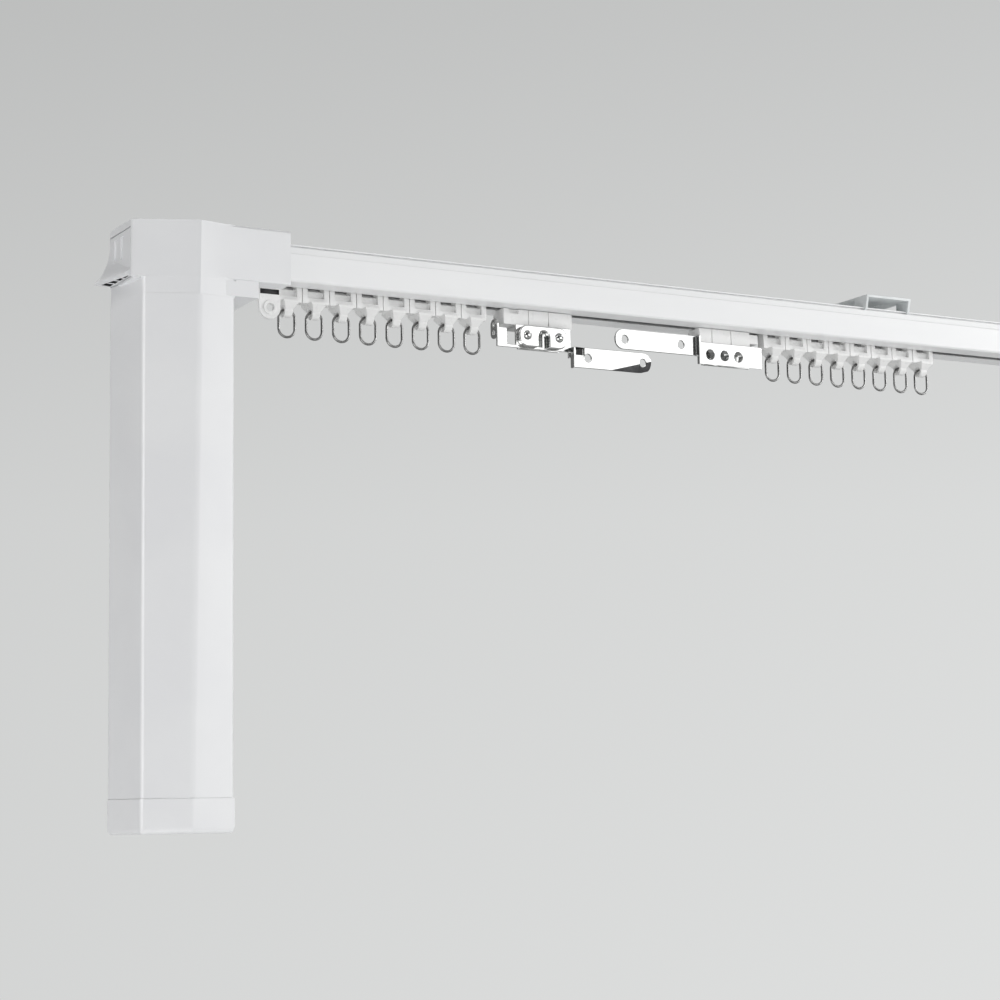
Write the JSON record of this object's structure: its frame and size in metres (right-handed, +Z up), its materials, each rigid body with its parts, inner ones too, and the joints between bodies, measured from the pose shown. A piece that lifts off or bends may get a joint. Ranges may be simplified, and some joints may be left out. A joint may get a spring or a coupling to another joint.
{
  "type": "electric curtain track",
  "caption": "Ceiling curtain track with a motor hanging from its drive head, a release latch, a toothed belt, overlapping curtain carriers, ring runners, end stops and clip brackets.",
  "frame": {"origin": "centre of the first bracket's ceiling face", "axes": "+X along the rail away from the motor, +Y towards the wall behind, +Z up"},
  "size_m": [1.2175, 0.0452, 0.2946],
  "materials": {
    "rail_white": "white powder coat on an aluminium extrusion",
    "motor_white": "white moulded plastic, half gloss",
    "white_plastic": "white moulded plastic",
    "steel": "bright plated steel",
    "bracket_grey": "grey spring steel",
    "belt": "dark toothed belt",
    "bronze": "plain bearing bronze",
    "pulley_plastic": "pale acetal",
    "dark_metal": "dark zinc plate",
    "board_green": "circuit board",
    "socket_grey": "dark moulded plastic",
    "button_grey": "grey moulded plastic"
  },
  "bodies": {
    "track": {"track_rail": "rail_white", "drive_belt": "belt", "ceiling_brackets": "bracket_grey", "end_stops": "white_plastic", "head_housing": "motor_white", "head_base": "motor_white", "shaft_bearing": "bronze", "gearbox": "dark_metal", "motor_can": "dark_metal", "control_board": "board_green", "motor_casing": "motor_white", "motor_cap": "motor_white", "power_socket": "socket_grey", "idler_housing": "motor_white", "idler_axle": "steel", "clamp_screws": "steel"},
    "left_carriage": {"left_carrier": "white_plastic", "left_hanger": "steel", "left_clip_plate": "steel", "left_rivets": "steel"},
    "right_carriage": {"right_carrier": "white_plastic", "right_hanger": "steel"},
    "drive": {"drive_pulley": "pulley_plastic", "output_spindle": "steel"},
    "rotor": {"motor_rotor": "steel"},
    "idler": {"idler_pulley": "pulley_plastic"},
    "latch": {"release_latch": "motor_white"},
    "button": {"set_button": "button_grey"},
    "runner_01": {"runner_01": "white_plastic"},
    "runner_02": {"runner_02": "white_plastic"},
    "runner_03": {"runner_03": "white_plastic"},
    "runner_04": {"runner_04": "white_plastic"},
    "runner_05": {"runner_05": "white_plastic"},
    "runner_06": {"runner_06": "white_plastic"},
    "runner_07": {"runner_07": "white_plastic"},
    "runner_08": {"runner_08": "white_plastic"},
    "runner_09": {"runner_09": "white_plastic"},
    "runner_10": {"runner_10": "white_plastic"},
    "runner_11": {"runner_11": "white_plastic"},
    "runner_12": {"runner_12": "white_plastic"},
    "runner_13": {"runner_13": "white_plastic"},
    "runner_14": {"runner_14": "white_plastic"},
    "runner_15": {"runner_15": "white_plastic"},
    "runner_16": {"runner_16": "white_plastic"},
    "ring_01": {"ring_01": "steel"},
    "ring_02": {"ring_02": "steel"},
    "ring_03": {"ring_03": "steel"},
    "ring_04": {"ring_04": "steel"},
    "ring_05": {"ring_05": "steel"},
    "ring_06": {"ring_06": "steel"},
    "ring_07": {"ring_07": "steel"},
    "ring_08": {"ring_08": "steel"},
    "ring_09": {"ring_09": "steel"},
    "ring_10": {"ring_10": "steel"},
    "ring_11": {"ring_11": "steel"},
    "ring_12": {"ring_12": "steel"},
    "ring_13": {"ring_13": "steel"},
    "ring_14": {"ring_14": "steel"},
    "ring_15": {"ring_15": "steel"},
    "ring_16": {"ring_16": "steel"}
  },
  "joints": [
    {"name": "left_slide", "type": "slide", "parent": "track", "child": "left_carriage", "axis": [1, 0, 0], "range_m": [0, 0.36]},
    {"name": "right_slide", "type": "slide", "parent": "left_carriage", "child": "right_carriage", "axis": [1, 0, 0], "range_m": [-0.02, 0.12]},
    {"name": "runner_01_slide", "type": "slide", "parent": "track", "child": "runner_01", "axis": [1, 0, 0], "range_m": [0, 0.04]},
    {"name": "runner_02_slide", "type": "slide", "parent": "track", "child": "runner_02", "axis": [1, 0, 0], "range_m": [0, 0.08]},
    {"name": "runner_03_slide", "type": "slide", "parent": "track", "child": "runner_03", "axis": [1, 0, 0], "range_m": [0, 0.12]},
    {"name": "runner_04_slide", "type": "slide", "parent": "track", "child": "runner_04", "axis": [1, 0, 0], "range_m": [0, 0.16]},
    {"name": "runner_05_slide", "type": "slide", "parent": "track", "child": "runner_05", "axis": [1, 0, 0], "range_m": [0, 0.2]},
    {"name": "runner_06_slide", "type": "slide", "parent": "track", "child": "runner_06", "axis": [1, 0, 0], "range_m": [0, 0.24]},
    {"name": "runner_07_slide", "type": "slide", "parent": "track", "child": "runner_07", "axis": [1, 0, 0], "range_m": [0, 0.28]},
    {"name": "runner_08_slide", "type": "slide", "parent": "track", "child": "runner_08", "axis": [1, 0, 0], "range_m": [0, 0.32]},
    {"name": "runner_09_slide", "type": "slide", "parent": "right_carriage", "child": "runner_09", "axis": [1, 0, 0], "range_m": [0, 0.018]},
    {"name": "runner_10_slide", "type": "slide", "parent": "right_carriage", "child": "runner_10", "axis": [1, 0, 0], "range_m": [0, 0.036]},
    {"name": "runner_11_slide", "type": "slide", "parent": "right_carriage", "child": "runner_11", "axis": [1, 0, 0], "range_m": [0, 0.054]},
    {"name": "runner_12_slide", "type": "slide", "parent": "right_carriage", "child": "runner_12", "axis": [1, 0, 0], "range_m": [0, 0.072]},
    {"name": "runner_13_slide", "type": "slide", "parent": "right_carriage", "child": "runner_13", "axis": [1, 0, 0], "range_m": [0, 0.09]},
    {"name": "runner_14_slide", "type": "slide", "parent": "right_carriage", "child": "runner_14", "axis": [1, 0, 0], "range_m": [0, 0.108]},
    {"name": "runner_15_slide", "type": "slide", "parent": "right_carriage", "child": "runner_15", "axis": [1, 0, 0], "range_m": [0, 0.126]},
    {"name": "runner_16_slide", "type": "slide", "parent": "right_carriage", "child": "runner_16", "axis": [1, 0, 0], "range_m": [0, 0.144]},
    {"name": "ring_01_swing", "type": "hinge", "parent": "runner_01", "child": "ring_01", "pos_m": [-0.3647, 0, -0.037], "axis": [1, 0, 0], "range_deg": [-35, 35]},
    {"name": "ring_02_swing", "type": "hinge", "parent": "runner_02", "child": "ring_02", "pos_m": [-0.3497, 0, -0.037], "axis": [1, 0, 0], "range_deg": [-35, 35]},
    {"name": "ring_03_swing", "type": "hinge", "parent": "runner_03", "child": "ring_03", "pos_m": [-0.3347, 0, -0.037], "axis": [1, 0, 0], "range_deg": [-35, 35]},
    {"name": "ring_04_swing", "type": "hinge", "parent": "runner_04", "child": "ring_04", "pos_m": [-0.3197, 0, -0.037], "axis": [1, 0, 0], "range_deg": [-35, 35]},
    {"name": "ring_05_swing", "type": "hinge", "parent": "runner_05", "child": "ring_05", "pos_m": [-0.3047, 0, -0.037], "axis": [1, 0, 0], "range_deg": [-35, 35]},
    {"name": "ring_06_swing", "type": "hinge", "parent": "runner_06", "child": "ring_06", "pos_m": [-0.2897, 0, -0.037], "axis": [1, 0, 0], "range_deg": [-35, 35]},
    {"name": "ring_07_swing", "type": "hinge", "parent": "runner_07", "child": "ring_07", "pos_m": [-0.2747, 0, -0.037], "axis": [1, 0, 0], "range_deg": [-35, 35]},
    {"name": "ring_08_swing", "type": "hinge", "parent": "runner_08", "child": "ring_08", "pos_m": [-0.2597, 0, -0.037], "axis": [1, 0, 0], "range_deg": [-35, 35]},
    {"name": "ring_09_swing", "type": "hinge", "parent": "runner_09", "child": "ring_09", "pos_m": [-0.0692, 0, -0.037], "axis": [1, 0, 0], "range_deg": [-35, 35]},
    {"name": "ring_10_swing", "type": "hinge", "parent": "runner_10", "child": "ring_10", "pos_m": [-0.0542, 0, -0.037], "axis": [1, 0, 0], "range_deg": [-35, 35]},
    {"name": "ring_11_swing", "type": "hinge", "parent": "runner_11", "child": "ring_11", "pos_m": [-0.0392, 0, -0.037], "axis": [1, 0, 0], "range_deg": [-35, 35]},
    {"name": "ring_12_swing", "type": "hinge", "parent": "runner_12", "child": "ring_12", "pos_m": [-0.0242, 0, -0.037], "axis": [1, 0, 0], "range_deg": [-35, 35]},
    {"name": "ring_13_swing", "type": "hinge", "parent": "runner_13", "child": "ring_13", "pos_m": [-0.0092, 0, -0.037], "axis": [1, 0, 0], "range_deg": [-35, 35]},
    {"name": "ring_14_swing", "type": "hinge", "parent": "runner_14", "child": "ring_14", "pos_m": [0.0058, 0, -0.037], "axis": [1, 0, 0], "range_deg": [-35, 35]},
    {"name": "ring_15_swing", "type": "hinge", "parent": "runner_15", "child": "ring_15", "pos_m": [0.0208, 0, -0.037], "axis": [1, 0, 0], "range_deg": [-35, 35]},
    {"name": "ring_16_swing", "type": "hinge", "parent": "runner_16", "child": "ring_16", "pos_m": [0.0358, 0, -0.037], "axis": [1, 0, 0], "range_deg": [-35, 35]},
    {"name": "drive_spin", "type": "hinge", "parent": "track", "child": "drive", "pos_m": [-0.425, 0, -0.0161], "axis": [0, 0, 1], "continuous": true},
    {"name": "idler_spin", "type": "hinge", "parent": "track", "child": "idler", "pos_m": [0.744, 0, -0.0161], "axis": [0, 0, 1], "continuous": true},
    {"name": "rotor_spin", "type": "hinge", "parent": "track", "child": "rotor", "pos_m": [-0.425, 0, -0.1186], "axis": [0, 0, 1], "continuous": true},
    {"name": "latch_swing", "type": "hinge", "parent": "track", "child": "latch", "pos_m": [-0.4478, 0, -0.0071], "axis": [0, 1, 0], "range_deg": [0, 10], "stiffness_Nm_per_rad": 0.01},
    {"name": "button_press", "type": "slide", "parent": "track", "child": "button", "axis": [0, 0, 1], "range_m": [0, 0.0012], "stiffness_N_per_m": 200}
  ],
  "couplings": [
    {"joint": "runner_01_slide", "follows": "left_slide", "ratio": 0.11111},
    {"joint": "runner_02_slide", "follows": "left_slide", "ratio": 0.22222},
    {"joint": "runner_03_slide", "follows": "left_slide", "ratio": 0.33333},
    {"joint": "runner_04_slide", "follows": "left_slide", "ratio": 0.44444},
    {"joint": "runner_05_slide", "follows": "left_slide", "ratio": 0.55556},
    {"joint": "runner_06_slide", "follows": "left_slide", "ratio": 0.66667},
    {"joint": "runner_07_slide", "follows": "left_slide", "ratio": 0.77778},
    {"joint": "runner_08_slide", "follows": "left_slide", "ratio": 0.88889},
    {"joint": "runner_09_slide", "follows": "runner_16_slide", "ratio": 0.125},
    {"joint": "runner_10_slide", "follows": "runner_16_slide", "ratio": 0.25},
    {"joint": "runner_11_slide", "follows": "runner_16_slide", "ratio": 0.375},
    {"joint": "runner_12_slide", "follows": "runner_16_slide", "ratio": 0.5},
    {"joint": "runner_13_slide", "follows": "runner_16_slide", "ratio": 0.625},
    {"joint": "runner_14_slide", "follows": "runner_16_slide", "ratio": 0.75},
    {"joint": "runner_15_slide", "follows": "runner_16_slide", "ratio": 0.875},
    {"joint": "drive_spin", "follows": "left_slide", "rad_per_m": 90.909},
    {"joint": "idler_spin", "follows": "left_slide", "rad_per_m": 90.909},
    {"joint": "rotor_spin", "follows": "left_slide", "rad_per_m": 363.64}
  ]
}
